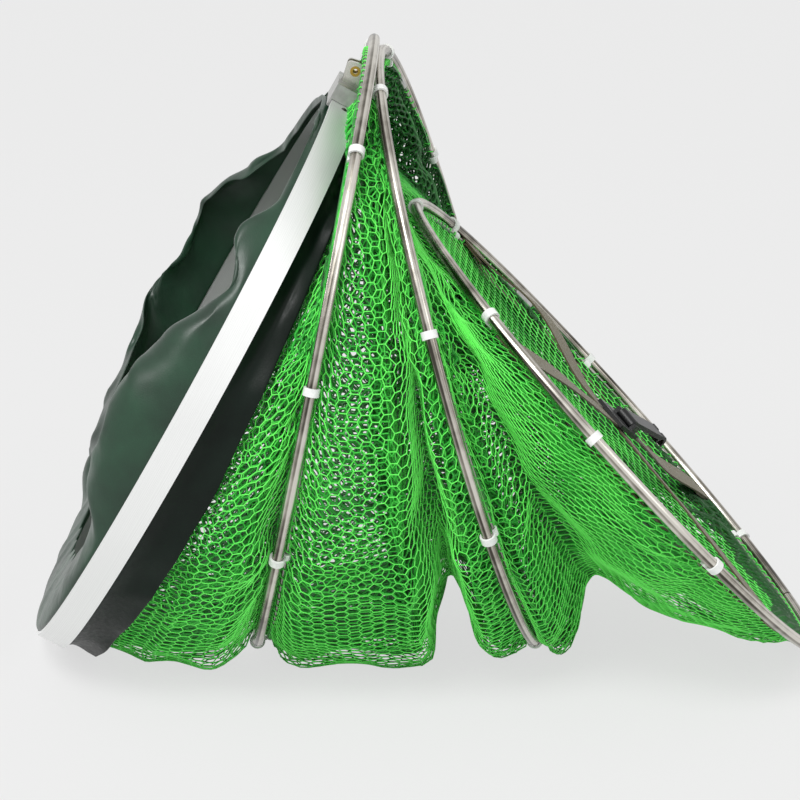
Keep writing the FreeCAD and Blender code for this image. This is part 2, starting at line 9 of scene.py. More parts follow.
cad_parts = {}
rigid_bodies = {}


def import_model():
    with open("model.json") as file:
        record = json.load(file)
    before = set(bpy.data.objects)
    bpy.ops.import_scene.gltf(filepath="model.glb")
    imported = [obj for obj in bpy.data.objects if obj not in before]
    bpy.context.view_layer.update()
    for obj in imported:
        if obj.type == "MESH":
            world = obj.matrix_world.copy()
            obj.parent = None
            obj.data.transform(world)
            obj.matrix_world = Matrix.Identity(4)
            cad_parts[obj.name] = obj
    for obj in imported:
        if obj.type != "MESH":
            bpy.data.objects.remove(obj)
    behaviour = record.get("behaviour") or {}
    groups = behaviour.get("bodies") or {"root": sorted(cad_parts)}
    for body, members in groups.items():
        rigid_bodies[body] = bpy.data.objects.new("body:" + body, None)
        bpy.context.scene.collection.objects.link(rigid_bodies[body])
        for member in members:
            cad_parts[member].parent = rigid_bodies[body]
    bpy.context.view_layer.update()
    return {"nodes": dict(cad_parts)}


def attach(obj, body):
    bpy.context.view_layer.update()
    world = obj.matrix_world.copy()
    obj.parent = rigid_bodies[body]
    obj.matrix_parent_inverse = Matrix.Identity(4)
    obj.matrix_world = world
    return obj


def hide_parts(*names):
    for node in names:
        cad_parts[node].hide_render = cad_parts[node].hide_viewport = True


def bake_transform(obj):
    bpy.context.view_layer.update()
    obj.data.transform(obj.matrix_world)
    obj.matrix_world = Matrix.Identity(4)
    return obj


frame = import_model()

NODES = frame["nodes"]
MM = 0.001
SHIFT = -17.1

# Sizes in millimetres, as the solids have them.
HOOP_RADIUS, BAND_WIDTH, BAND_WALL, HOOP_FOOT, HOOP_LEAN = 201.5, 19.0, 2.5, -239.0, 29.3
TUBE_RADIUS = 3.5
# radius of the tube's centre line, foot, lean, yaw
HOOPS = {"front": (198.0, -93.8, 11.3, 0.0), "back": (197.5, 93.5, -15.6, 2.7),
         "last": (191.7, 269.2, -42.5, -3.15)}
CLIP_ANGLES = {"front": (-139, -95, -61, -20, 25, 70, 115, 160),
               "back": (-158, -106, -67, -22, 22, 70, 121, 166),
               "last": (-136, -106, -73, -27, 36, 88, 139, 176)}
WIRE_DROP, WIRE_OFFSET, WIRE_SWING = 1.5, 2.3, {"front": 5.75, "back": 3.0}
LAST_WIRE_INSET, LAST_WIRE_OFFSET, BASE_SAG = 7.4, -3.0, 22.0

# Camera: lens in millimetres, distance and height of the aim in metres, degrees down.
LENS, CAMERA_AWAY, AIM_HEIGHT, LOOK_DOWN = 138.0, 2.0, 0.1576, 14.4


# ---------------------------------------------------------------- camera

def place_camera():
    data = bpy.data.cameras.new("camera")
    data.sensor_width, data.lens = 36.0, LENS
    data.clip_start, data.clip_end = 0.05, 50.0
    camera = bpy.data.objects.new("camera", data)
    bpy.context.scene.collection.objects.link(camera)
    aim = Vector((SHIFT * MM, 0.0, AIM_HEIGHT))
    down = math.radians(LOOK_DOWN)
    camera.location = aim + CAMERA_AWAY * Vector((0.0, -math.cos(down), math.sin(down)))
    camera.rotation_euler = (aim - camera.location).to_track_quat("-Z", "Y").to_euler()
    bpy.context.scene.camera = camera


# ---------------------------------------------------------------- hoops' own frames

def hoop_frame(radius, foot, lean, yaw, foot_height):
    """Centre and axes of a hoop: down to its foot, across to the far side, and along its axis."""
    lean, yaw = math.radians(lean), math.radians(yaw)
    away = Vector((math.cos(yaw), -math.sin(yaw), 0.0))
    across = Vector((math.sin(yaw), math.cos(yaw), 0.0))
    up = math.cos(lean) * Vector((0, 0, 1)) + math.sin(lean) * away
    axis = math.cos(lean) * away - math.sin(lean) * Vector((0, 0, 1))
    centre = Vector((foot + SHIFT, 0.0, foot_height)) + up * radius
    return centre, -up, across, axis


def tube_frame(name):
    radius, foot, lean, yaw = HOOPS[name]
    return hoop_frame(radius, foot, lean, yaw, TUBE_RADIUS)


def mouth_frame():
    return hoop_frame(HOOP_RADIUS, HOOP_FOOT, HOOP_LEAN, 0.0, BAND_WIDTH * math.sin(math.radians(HOOP_LEAN)))


def on_hoop(hoop, radius, angle, along=0.0):
    """A point in millimetres at an angle from the foot towards the far side."""
    centre, down, across, axis = hoop
    turn = math.radians(angle)
    return centre + down * (radius * math.cos(turn)) + across * (radius * math.sin(turn)) + axis * along


def wire_frame(name):
    """Centre, axes and radius of the thin ring inside a tube hoop."""
    centre, down, across, axis = tube_frame(name)
    if name == "last":
        return (centre + axis * LAST_WIRE_OFFSET, down, across, axis), HOOPS[name][0] - LAST_WIRE_INSET
    radius = HOOPS[name][0] - 6.0
    swing = math.asin(WIRE_SWING[name] / radius)
    tilted_down = down * math.cos(swing) + axis * math.sin(swing)
    tilted_axis = axis * math.cos(swing) - down * math.sin(swing)
    return (centre + down * WIRE_DROP + axis * WIRE_OFFSET, tilted_down, across, tilted_axis), radius


# ---------------------------------------------------------------- materials

def srgb(text):
    """A hex colour as linear red, green, blue, alpha."""
    parts = [int(text[i:i + 2], 16) / 255.0 for i in (1, 3, 5)]
    return [p / 12.92 if p <= 0.04045 else ((p + 0.055) / 1.055) ** 2.4 for p in parts] + [1.0]


def add(tree, kind, links=(), **settings):
    """A node of a kind; settings are its properties or inputs by name, links are (input, output) pairs."""
    made = tree.nodes.new("ShaderNode" + kind)
    for name, value in settings.items():
        key = name.replace("_", " ").title()
        if key in made.inputs:
            made.inputs[key].default_value = value
        else:
            setattr(made, name, value)
    for socket, source in links:
        tree.links.new(source, made.inputs[socket])
    return made


def finish_of(name, **shader):
    """A new material with a Principled shader; shader holds the sockets that are the same all over."""
    made = bpy.data.materials.new(name)
    made.use_nodes = True
    tree = made.node_tree
    tree.nodes.clear()
    skin = add(tree, "BsdfPrincipled")
    for key, value in shader.items():
        skin.inputs[key.replace("_", " ")].default_value = value
    add(tree, "OutputMaterial", [("Surface", skin.outputs[0])])
    return made, tree, skin


def place_of(tree, scale=1.0, turn=(0, 0, 0)):
    """Object coordinates in millimetres, turned and scaled."""
    where = add(tree, "TexCoord")
    size = scale if isinstance(scale, tuple) else (scale,) * 3
    mapping = add(tree, "Mapping", [("Vector", where.outputs["Object"])])
    mapping.inputs["Scale"].default_value = [1000.0 * s for s in size]
    mapping.inputs["Rotation"].default_value = turn
    return mapping.outputs[0]


def ramp(tree, source, stops):
    made = add(tree, "ValToRGB", [("Fac", source)])
    band = made.color_ramp
    while len(band.elements) < len(stops):
        band.elements.new(0.5)
    for element, (at, colour) in zip(band.elements, stops):
        element.position = at
        element.color = srgb(colour) if isinstance(colour, str) else (colour, colour, colour, 1.0)
    return made.outputs[0]


def bump(tree, skin, height, distance_mm, strength=1.0):
    made = add(tree, "Bump", [("Height", height)], strength=strength, distance=distance_mm * MM)
    tree.links.new(made.outputs[0], skin.inputs["Normal"])


def speckle(tree, where, scale, detail=3.0, roughness=0.55):
    """Soft noise; scale is in spots per millimetre."""
    made = add(tree, "TexNoise", [("Vector", where)], scale=scale, detail=detail, roughness=roughness)
    return made.outputs["Fac"]


def streak_noise(tree, source, scale, detail):
    """Noise that varies along one number only."""
    made = add(tree, "TexNoise", [("W", source)], noise_dimensions="1D", scale=scale, detail=detail)
    return made.outputs["Fac"]


def math_node(tree, operation, first, second=None):
    made = add(tree, "Math", [(0, first)] + ([(1, second)] if second is not None else []), operation=operation)
    return made.outputs[0]


def brushed_band(hoop):
    """Aluminium strip, brushed lengthwise and clear anodised: pale, soft reflections with fine lines."""
    made, tree, skin = finish_of("brushed_anodised_aluminium", Metallic=0.7)
    across = add(tree, "VectorMath", [(0, place_of(tree))], operation="DOT_PRODUCT")
    across.inputs[1].default_value = hoop[3]
    # brush lines run round the hoop, so they vary only across the strip: about 0.3 mm apart
    lines = streak_noise(tree, across.outputs["Value"], 3.2, 4.0)
    patches = speckle(tree, place_of(tree), 0.03)
    tree.links.new(ramp(tree, lines, [(0.3, "#E6E7E6"), (0.7, "#FAFBFA")]), skin.inputs["Base Color"])
    # the outer face is brushed, and the inner face keeps the mill's polish
    out = add(tree, "VectorMath", [(0, place_of(tree))], operation="DISTANCE")
    out.inputs[1].default_value = hoop[0] + hoop[3] * (BAND_WIDTH / 2)
    outer = add(tree, "MapRange", [("Value", out.outputs["Value"])], from_min=HOOP_RADIUS - BAND_WALL + 0.4,
                from_max=HOOP_RADIUS - 0.6)
    worn = ramp(tree, patches, [(0.3, 0.8), (0.7, 1.1)])
    rough = add(tree, "Math", [(0, outer.outputs[0]), (1, worn)], operation="MULTIPLY_ADD")
    scale = add(tree, "Math", [(0, rough.outputs[0])], operation="MULTIPLY")
    rough.inputs[2].default_value = 0.35
    scale.inputs[1].default_value = 0.31
    tree.links.new(scale.outputs[0], skin.inputs["Roughness"])
    bump(tree, skin, lines, 0.02, 0.5)
    return made


def steel(name, low, high, rough_low, rough_high, grit=0.6):
    """Drawn steel: neutral grey with faint warm stains and fine marks."""
    made, tree, skin = finish_of(name, Metallic=1.0)
    where = place_of(tree)
    stains = speckle(tree, where, 0.05, 4.0)
    marks = speckle(tree, where, grit, 6.0, 0.7)
    tree.links.new(ramp(tree, stains, [(0.3, low), (0.7, high)]), skin.inputs["Base Color"])
    tree.links.new(ramp(tree, marks, [(0.3, rough_low), (0.75, rough_high)]), skin.inputs["Roughness"])
    bump(tree, skin, marks, 0.01, 0.4)
    return made


def steel_tube_painted_reflections(name, hoop, radius):
    """Polished steel tube with painted reflections: dark and light streaks that run along the tube and vary
    round it, mixed with stains.
    """
    made, tree, skin = finish_of("polished_steel_tube_" + name, Metallic=1.0)
    centre, _, _, axis = hoop
    out = add(tree, "VectorMath", [(0, place_of(tree))], operation="SUBTRACT")
    out.inputs[1].default_value = centre
    along = add(tree, "VectorMath", [(0, out.outputs["Vector"])], operation="DOT_PRODUCT")
    along.inputs[1].default_value = axis
    reach = add(tree, "VectorMath", [(0, out.outputs["Vector"])], operation="LENGTH")
    whole = math_node(tree, "MULTIPLY", reach.outputs["Value"], reach.outputs["Value"])
    less = math_node(tree, "MULTIPLY", along.outputs["Value"], along.outputs["Value"])
    from_axis = math_node(tree, "SQRT", math_node(tree, "SUBTRACT", whole, less))
    off = add(tree, "Math", [(0, from_axis)], operation="SUBTRACT")
    off.inputs[1].default_value = radius
    turn = math_node(tree, "ARCTAN2", along.outputs["Value"], off.outputs[0])
    lines = streak_noise(tree, turn, 1.5, 2.0)
    stains = speckle(tree, place_of(tree), 0.02, 4.0, 0.6)
    mean = add(tree, "Math", [(0, math_node(tree, "ADD", lines, stains))], operation="MULTIPLY")
    mean.inputs[1].default_value = 0.5
    # painted reflections: the streaks round the tube, mixed with the stains, set the colour
    tree.links.new(ramp(tree, mean.outputs[0], [(0.39, "#4A4740"), (0.48, "#9A958B"), (0.58, "#DAD6CD")]),
                   skin.inputs["Base Color"])
    tree.links.new(ramp(tree, stains, [(0.3, 0.2), (0.75, 0.36)]), skin.inputs["Roughness"])
    return made


def cast_metal():
    """Zinc die casting: satin, with a faint orange peel."""
    made, tree, skin = finish_of("zinc_die_casting", Metallic=1.0, Roughness=0.38)
    where = place_of(tree)
    tree.links.new(ramp(tree, speckle(tree, where, 0.2), [(0.3, "#A9A9A6"), (0.7, "#C6C6C3")]),
                   skin.inputs["Base Color"])
    bump(tree, skin, speckle(tree, where, 1.2, 5.0), 0.05, 0.35)
    return made


def leathercloth(name, dark, light, sheen, shine=0.3):
    """Polyurethane coated cloth, dark green: embossed grain about 0.8 mm, soft broad highlights, scuffs."""
    made, tree, skin = finish_of(name, Specular_IOR_Level=shine, Coat_Weight=sheen, Coat_Roughness=0.28)
    where = place_of(tree)
    cloud = speckle(tree, where, 0.025, 5.0)
    tree.links.new(ramp(tree, cloud, [(0.3, dark), (0.75, light)]), skin.inputs["Base Color"])
    scuffs = speckle(tree, place_of(tree, (1.0, 1.0, 0.25), (0.4, 0.7, 0.2)), 0.35, 6.0, 0.7)
    tree.links.new(ramp(tree, scuffs, [(0.35, 0.34), (0.7, 0.54)]), skin.inputs["Roughness"])
    grain = add(tree, "TexVoronoi", [("Vector", where)], scale=1.25, feature="SMOOTH_F1")
    both = add(tree, "Math", [(0, grain.outputs["Distance"]), (1, scuffs)], operation="ADD")
    bump(tree, skin, both.outputs[0], 0.12, 0.5)
    return made


def netting_cord(name, shaded_green, middle, bright):
    """Knotless polyester cord, bright green, with painted shade: each strand is painted darker on the side
    that faces into the bag, and the inner layers darker still.
    """
    made, tree, skin = finish_of(name, Roughness=0.5, Specular_IOR_Level=0.4, Sheen_Weight=0.1)
    where = place_of(tree)
    cloud = speckle(tree, where, 0.03, 4.0)
    painted_light_amount = add(tree, "Attribute", attribute_name="painted_light_amount")
    mixed = add(tree, "Math", [(0, painted_light_amount.outputs["Fac"]), (1, cloud)], operation="MULTIPLY")
    tree.links.new(ramp(tree, mixed.outputs[0], [(0.02, shaded_green), (0.13, middle), (0.36, bright)]),
                   skin.inputs["Base Color"])
    # the twist of the yarn, drawn at 0.5 mm
    bump(tree, skin, speckle(tree, where, 2.0, 2.0), 0.15, 0.6)
    return made


def webbing():
    """Woven olive polypropylene tape: ribs across every 1.3 mm and a thinner rib along."""
    made, tree, skin = finish_of("olive_polypropylene_webbing", Roughness=0.62, Sheen_Weight=0.2,
                                 Specular_IOR_Level=0.35)
    uv = add(tree, "UVMap", uv_map="weave")
    ribs = add(tree, "TexWave", [("Vector", uv.outputs[0])], scale=0.24, distortion=0.6, detail=2.0,
               wave_type="BANDS", bands_direction="X")
    warp = add(tree, "TexWave", [("Vector", uv.outputs[0])], scale=0.42, distortion=0.4, detail=1.0,
               wave_type="BANDS", bands_direction="Y")
    weave = add(tree, "Math", [(0, ribs.outputs["Fac"]), (1, warp.outputs["Fac"])], operation="MULTIPLY")
    tree.links.new(ramp(tree, weave.outputs[0], [(0.0, "#4A4229"), (0.8, "#8F8862")]),
                   skin.inputs["Base Color"])
    bump(tree, skin, weave.outputs[0], 0.35, 0.8)
    return made


def moulded(name, low, high, roughness, **more):
    """Injection-moulded plastic: even colour with faint flow marks and a fine texture."""
    made, tree, skin = finish_of(name, Roughness=roughness, **more)
    where = place_of(tree)
    tree.links.new(ramp(tree, speckle(tree, where, 0.25, 4.0), [(0.3, low), (0.7, high)]),
                   skin.inputs["Base Color"])
    bump(tree, skin, speckle(tree, where, 2.5, 3.0), 0.04, 0.4)
    return made


def floor_paint():
    """Pale paper sweep: it shows as the same pale grey everywhere, and still takes the shadow."""
    made = bpy.data.materials.new("pale_paper_sweep")
    made.use_nodes = True
    tree = made.node_tree
    tree.nodes.clear()
    paper = add(tree, "BsdfDiffuse", color=srgb("#EBEBEB"))
    glow = add(tree, "Emission", color=srgb("#EBEBEB"), strength=1.0)
    path = add(tree, "LightPath")
    seen = add(tree, "Math", [(0, path.outputs["Is Camera Ray"]), (1, path.outputs["Is Glossy Ray"])],
               operation="MAXIMUM")
    share = add(tree, "Math", [(0, seen.outputs[0])], operation="MULTIPLY")
    share.inputs[1].default_value = 0.8
    both = add(tree, "MixShader", [("Fac", share.outputs[0]), (1, paper.outputs[0]), (2, glow.outputs[0])])
    add(tree, "OutputMaterial", [("Surface", both.outputs[0])])
    return made


def set_material(thing, material):
    slots = thing.data.materials
    slots.clear()
    slots.append(material)


# ---------------------------------------------------------------- mesh helpers

def new_piece(name, points, faces):
    mesh = bpy.data.meshes.new(name)
    mesh.from_pydata([tuple(p) for p in points], [], faces)
    mesh.update()
    piece = bpy.data.objects.new(name, mesh)
    bpy.context.scene.collection.objects.link(piece)
    return piece


def select_only(piece):
    for other in bpy.context.view_layer.objects:
        other.select_set(False)
    piece.select_set(True)
    bpy.context.view_layer.objects.active = piece


def apply(piece, kind, **settings):
    """Adds a modifier and applies it."""
    select_only(piece)
    made = piece.modifiers.new(kind.lower(), kind)
    for key, value in settings.items():
        setattr(made, key, value)
    bpy.ops.object.modifier_apply(modifier=made.name)


def smooth(piece, degrees=180.0):
    select_only(piece)
    if degrees >= 180.0:
        bpy.ops.object.shade_smooth()
    else:
        bpy.ops.object.shade_smooth_by_angle(angle=math.radians(degrees))


def grid_faces(rows, columns, closed=True):
    """Quads between rows of points; closed joins the last column to the first."""
    faces = []
    for j in range(rows - 1):
        for i in range(columns if closed else columns - 1):
            after = (i + 1) % columns
            this, above = j * columns, (j + 1) * columns
            faces.append((this + i, this + after, above + after, above + i))
    return faces


# ---------------------------------------------------------------- netting

ROUND = 192          # columns round a section
LONG = 40            # rows along a section
CELL_HIGH, CELL_LONG = 7.6, 6.7
STRAND = 1.0
NET_RADIUS = 194.0   # mean radius that the cells are counted round
NET_BANDS = 8        # level bands of a section, each a piece of its own
LACING_TURNS = 150
FOLD_RADIUS = 190.0  # mean radius that the gathers are laid out on
SIX_SIDES = ((-2 / 3, 0), (-1 / 3, 0.5), (1 / 3, 0.5), (2 / 3, 0), (1 / 3, -0.5), (-1 / 3, -0.5))
# the outer wall and the slack inside it: depth, amount of folding, strand as drawn, brightness (painted
# shade: the two inner layers are painted darker); the two inner strands are thicker than the cord, as bunched
# netting in shadow looks
LAYERS = ((0.0, 7.0, 0.9, 1.0), (11.0, 10.0, 1.35, 0.46), (22.0, 14.0, 2.3, 0.2))


def soft_floor(height, lowest=0.5):
    rise = height - lowest
    return lowest + (rise + np.sqrt(rise * rise + 9.0)) / 2


def loop_points(foot, top, yaw, spread=1.0, count=ROUND):
    """Points in millimetres on a loop from its foot round the far side."""
    sideways = (foot[0] - top[0]) * math.tan(math.radians(yaw))
    centre = np.array([(foot[0] + top[0]) / 2 + SHIFT, sideways / 2, (foot[1] + top[1]) / 2])
    down = np.array([foot[0] - top[0], -sideways, foot[1] - top[1]])
    radius = np.linalg.norm(down) / 2
    down = down / (2 * radius)
    across = np.array([math.sin(math.radians(yaw)), math.cos(math.radians(yaw)), 0.0]) * spread
    turn = np.arange(count) * (2 * math.pi / count)
    return centre + np.outer(radius * np.cos(turn), down) + np.outer(radius * np.sin(turn), across)


def wire_points(name, along=0.0, inset=0.0):
    hoop, radius = wire_frame(name)
    return np.array([on_hoop(hoop, radius - inset, 360.0 * i / ROUND, along) for i in range(ROUND)])


def through(stations, rows):
    """A smooth curve through the stations for every column, cut into rows of equal length."""
    count = len(stations)
    fine = []
    for k in range(count - 1):
        a, b = stations[k], stations[k + 1]
        before = stations[k - 1] if k else 2 * a - b
        after = stations[k + 2] if k + 2 < count else 2 * b - a
        steps = 12
        for step in range(steps + (k == count - 2)):
            t = step / steps
            fine.append(0.5 * (2 * a + (b - before) * t + (2 * before - 5 * a + 4 * b - after) * t * t
                               + (3 * a - before - 3 * b + after) * t ** 3))
    fine = np.array(fine)
    fine[..., 2] = np.where(fine[..., 2] < 12, soft_floor(fine[..., 2]), fine[..., 2])
    gaps = np.linalg.norm(np.diff(fine, axis=0), axis=2)
    columns = fine.shape[1]
    length = np.vstack([np.zeros(columns), np.cumsum(gaps, axis=0)])
    out = np.empty((rows + 1, columns, 3))
    for i in range(columns):
        at = np.linspace(0, length[-1, i], rows + 1)
        for c in range(3):
            out[:, i, c] = np.interp(at, length[:, i], fine[:, i, c])
    return out


def normals(surface):
    along = np.gradient(surface, axis=0)
    round_way = (np.roll(surface, -1, axis=1) - np.roll(surface, 1, axis=1)) / 2
    normal = np.cross(round_way, along)
    return normal / np.maximum(np.linalg.norm(normal, axis=2, keepdims=True), 1e-6)


def add_folds(surface, clips_first, clips_last, amount, seed):
    """Soft folds that die out at the wires, and gathers that fan out from each clip."""
    rows = surface.shape[0]
    length = np.linalg.norm(np.diff(surface, axis=0), axis=2).sum(axis=0)
    share = np.linspace(0, 1, rows)[:, None]
    turn = np.arange(ROUND) * 360.0 / ROUND
    envelope = np.clip(4 * share * (1 - share), 0, 1) ** 0.8 * np.clip((length - 20.0) / 110.0, 0.02, 1.0)
    height = np.zeros((rows, ROUND))
    for j in range(rows):
        for i in range(ROUND):
            p = surface[j, i] / 62.0
            q = surface[j, i] / 27.0
            height[j, i] = (noise.noise(Vector((p[0] * 1.5 + seed, p[1], p[2] * 0.8)))
                            + 0.45 * noise.noise(Vector((q[0] + seed, q[1], q[2]))))
    height = np.minimum(height * amount, 8.0) * envelope
    for clips, edge in ((clips_first, 0), (clips_last, rows - 1)):
        for clip in clips:
            apart = (turn - clip + 180) % 360 - 180
            sideways = apart / 180 * math.pi * FOLD_RADIUS
            distance = np.linalg.norm(surface - surface[edge, int(round(clip / 360 * ROUND)) % ROUND], axis=2)
            fan = np.arctan2(np.abs(share - edge / (rows - 1)) * length, sideways)
            height += (np.cos(7 * fan + seed) * 3.2 * np.exp(-(distance / 48.0) ** 2)
                       * np.clip(distance / 22.0, 0, 1) * np.clip(length / 60.0, 0.0, 1.0))
    moved = surface + normals(surface) * height[..., None]
    moved[..., 2] = np.maximum(moved[..., 2], 0.7)
    return moved


class Netting:
    """Looks up places on a section's surface by distance round it and along it."""

    def __init__(self, surface, stretch=0.2):
        self.surface = surface
        self.rows = surface.shape[0]
        gaps = np.linalg.norm(np.diff(surface, axis=0), axis=2)
        table = np.vstack([np.zeros(ROUND), np.cumsum(gaps, axis=0)])
        self.table = (table - table[-1] / 2).T
        density = 1 + stretch * np.cos(np.arange(ROUND + 1) * 2 * math.pi / ROUND)
        self.round = np.concatenate([[0], np.cumsum((density[1:] + density[:-1]) / 2)])
        self.around = 2 * math.pi * NET_RADIUS
        self.round *= self.around / self.round[-1]

    def column(self, u):
        return np.interp(u % self.around, self.round, np.arange(ROUND + 1))

    def between_columns(self, u):
        column = self.column(u)
        low = np.floor(column).astype(int)
        return low % ROUND, (low + 1) % ROUND, column - low

    def lengths(self, u):
        low, high, share = self.between_columns(u)
        return (1 - share)[:, None] * self.table[low] + share[:, None] * self.table[high]

    def half(self, u):
        return self.lengths(u)[:, -1]

    def place(self, u, s):
        low, high, share = self.between_columns(u)
        lengths = self.lengths(u)
        s = np.clip(s, lengths[:, 0], lengths[:, -1])
        row = np.clip((lengths <= s[:, None]).sum(axis=1) - 1, 0, self.rows - 2)
        pick = np.arange(len(u))
        rise = (s - lengths[pick, row]) / np.maximum(lengths[pick, row + 1] - lengths[pick, row], 1e-9)
        share, rise, grid = share[:, None], rise[:, None], self.surface
        return ((1 - share) * ((1 - rise) * grid[row, low] + rise * grid[row + 1, low])
                + share * ((1 - rise) * grid[row, high] + rise * grid[row + 1, high]))


def waver(u, s, seed):
    """A small wander of the cells, so that no two are quite alike."""
    slow = noise.noise_vector(Vector((u / 45.0, s / 45.0, seed)))
    quick = noise.noise_vector(Vector((u / 7.0, s / 7.0, seed + 9.0)))
    return slow.x * 1.6 + quick.x * 0.6, slow.y * 1.6 + quick.y * 0.6


def hex_cells(net, seed):
    """Six-sided cells over the section, cut where the netting meets its wires; points in millimetres."""
    rounds = int(round(net.around / CELL_HIGH))
    high = net.around / rounds
    columns = int(net.table[:, -1].max() / CELL_LONG) + 2
    row, column = np.meshgrid(np.arange(rounds), np.arange(-columns, columns + 1), indexing="ij")
    along, round_way = np.array(SIX_SIDES).T
    u = (row.ravel() * high + np.where(column.ravel() % 2, 0.5 * high, 0.0))[:, None] + round_way * high
    s = (column.ravel() * CELL_LONG)[:, None] + along * CELL_LONG
    moved = np.array([waver(a, b, seed) for a, b in zip(u.ravel(), s.ravel())]).reshape(u.shape + (2,))
    # the wander dies out where the netting closes on itself
    seam = np.minimum(1.0, np.minimum(u % net.around, net.around - u % net.around) / 30.0)
    u, s = u + moved[..., 0] * seam, s + moved[..., 1] * seam
    s *= 1.0 + 0.18 * np.cos(2 * math.pi * net.column(u) / ROUND)
    inside = net.half(u.ravel()).reshape(u.shape) - np.abs(s)
    whole = inside.min(axis=1) >= 0
    cells = list(net.place(u[whole].ravel(), s[whole].ravel()).reshape(-1, len(SIX_SIDES), 3))
    for k in np.nonzero(~whole & (inside.max(axis=1) > 0))[0]:
        kept = clip_ring(list(zip(u[k], s[k], inside[k])))
        if len(kept) > 2:
            kept = np.array(kept)
            cells.append(net.place(kept[:, 0], kept[:, 1]))
    return cells


def clip_ring(ring):
    """The part of a cell inside the netting; each corner has (round, along, how far inside)."""
    if all(corner[2] >= 0 for corner in ring):
        return [corner[:2] for corner in ring]
    kept = []
    for here, after in zip(ring, ring[1:] + ring[:1]):
        if here[2] >= 0:
            kept.append(here[:2])
        if (here[2] >= 0) != (after[2] >= 0):
            t = here[2] / (here[2] - after[2])
            kept.append((here[0] + (after[0] - here[0]) * t, here[1] + (after[1] - here[1]) * t))
    return kept


def paint_cord_shade(piece, middle, out_of_bag, share):
    """Stores painted shade for the cord: how far each bit of cord faces out of the bag, scaled down for the
    sheltered layers so that they are painted darker.
    """
    count = len(piece.data.vertices)
    points, ways = np.empty(count * 3), np.empty(count * 3)
    piece.data.vertices.foreach_get("co", points)
    piece.data.vertex_normals.foreach_get("vector", ways)
    points, ways = points.reshape(-1, 3) / MM, ways.reshape(-1, 3)
    if out_of_bag is not None:
        outward = np.array(out_of_bag)
    else:
        outward = (points - np.array(middle)) * (0.15, 1.0, 1.0)
    outward = outward / np.maximum(np.linalg.norm(outward, axis=-1, keepdims=True), 1e-6)
    painted_light_amount = share * np.clip(0.5 + 0.75 * (ways * outward).sum(axis=1), 0.0, 1.0)
    layer = piece.data.attributes.new("painted_light_amount", "FLOAT", "POINT")
    layer.data.foreach_set("value", painted_light_amount.astype(np.float32))


def cord_mesh(name, cells, thickness, material, share=1.0, out_of_bag=None):
    """Cells as open netting: every side of a cell becomes a strand."""
    points, faces = [], []
    for cell in cells:
        faces.append(tuple(range(len(points), len(points) + len(cell))))
        points += [p * MM for p in cell]
    piece = new_piece(name, points, faces)
    tidy = bmesh.new()
    tidy.from_mesh(piece.data)
    bmesh.ops.remove_doubles(tidy, verts=tidy.verts, dist=0.00025)
    bmesh.ops.dissolve_degenerate(tidy, edges=tidy.edges, dist=0.0001)
    tidy.to_mesh(piece.data)
    tidy.free()
    apply(piece, "WIREFRAME", thickness=thickness * MM, use_even_offset=False, use_boundary=True,
          use_replace=True, offset=0.0)
    smooth(piece)
    # painted shade: the strands are painted darker where they face into the bag
    paint_cord_shade(piece, (SHIFT, 0.0, 185.0), out_of_bag, share)
    set_material(piece, material)
    return piece


def net_section(name, surface, seed, material, bands, strand, share):
    """Netting between two hoops in level bands, near and far, each made as a piece of its own."""
    cells = hex_cells(Netting(surface), seed)
    tops = max(float(surface[..., 2].max()), 1.0)
    groups = {}
    for cell in cells:
        middle = cell.mean(axis=0)
        band = min(int(middle[2] / tops * bands), bands - 1)
        groups.setdefault((band, bool(middle[1] > 0)), []).append(cell)
    pieces = []
    for (band, far), members in sorted(groups.items()):
        label = "%s_%s_%02d" % (name, "far" if far else "near", band + 1)
        piece = cord_mesh(label, members, strand, material, share)
        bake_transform(piece)
        pieces.append(piece)
    return pieces


def keep_behind(surface, hoop, play=3.5):
    """Holds slack netting back behind the plane of the hoop that it hangs from."""
    centre, _, _, axis = hoop
    past = np.maximum((surface[1:-1] - np.array(centre)) @ np.array(axis) + play, 0.0)
    surface[1:-1] -= past[..., None] * np.array(axis)
    return surface


def sheltered(surface, depth, first_clips, last_clips, amount, seed):
    """A layer of the netting: the outer wall, or slack that hangs inside it."""
    share = np.linspace(0, 1, surface.shape[0])[:, None, None]
    length = np.linalg.norm(np.diff(surface, axis=0), axis=2).sum(axis=0)
    room = np.clip((length - 35.0) / 120.0, 0.0, 1.0)
    inner = surface - normals(surface) * depth * np.clip(4 * share * (1 - share), 0, 1) ** 0.6 * room[:, None]
    inner[..., 2] = np.maximum(inner[..., 2], 0.9 + 0.1 * depth)
    return add_folds(inner, first_clips, last_clips, amount, seed)


def under_hem():
    """Where the first net is sewn in, just inside the skirt and ahead of its hem."""
    hoop, radius = mouth_frame(), HOOP_RADIUS - BAND_WALL - 3.0
    rear = np.array([on_hoop(hoop, radius, 360.0 * i / ROUND, BAND_WIDTH + 0.5) for i in range(ROUND)])
    hem = loop_points((-186, 4), (-20.5, 334), 0, 0.98)
    return rear + (hem - rear) * hem_share(ROUND) * 0.85


